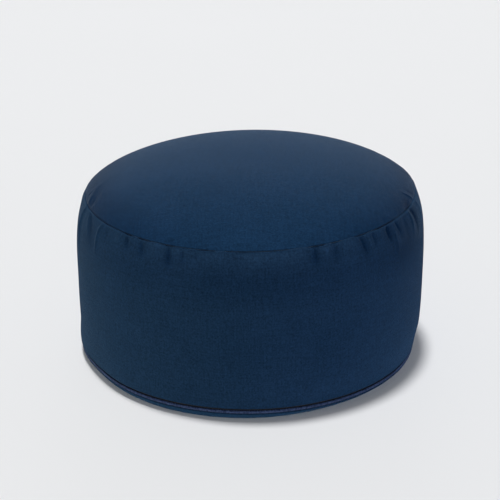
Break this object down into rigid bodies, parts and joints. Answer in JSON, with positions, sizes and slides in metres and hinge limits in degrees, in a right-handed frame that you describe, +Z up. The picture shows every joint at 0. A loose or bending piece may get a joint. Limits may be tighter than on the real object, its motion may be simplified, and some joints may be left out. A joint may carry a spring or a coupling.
{
  "type": "zafu meditation cushion",
  "caption": "Round, firmly filled floor cushion with a domed top, a gently gathered side band and a zip round its base, for sitting in meditation.",
  "frame": {"origin": "on the floor, under the middle of the cushion", "axes": "+Z up through the middle of the top panel, -Y towards the middle of the zip"},
  "size_m": [0.3493, 0.3492, 0.2021],
  "materials": {
    "canvas_top": "matt cotton canvas with a soft pale nap at grazing angles",
    "canvas_side": "matt cotton canvas with a soft pale nap at grazing angles",
    "canvas_base": "matt cotton canvas",
    "zip_tape": "flat woven polyester tape",
    "zip_teeth": "satin nylon coil"
  },
  "bodies": {
    "root": {"top_panel": "canvas_top", "side_band": "canvas_side", "base_panel": "canvas_base", "zip_tape_upper": "zip_tape", "zip_tape_lower": "zip_tape", "zip_coil": "zip_teeth"}
  },
  "joints": []
}
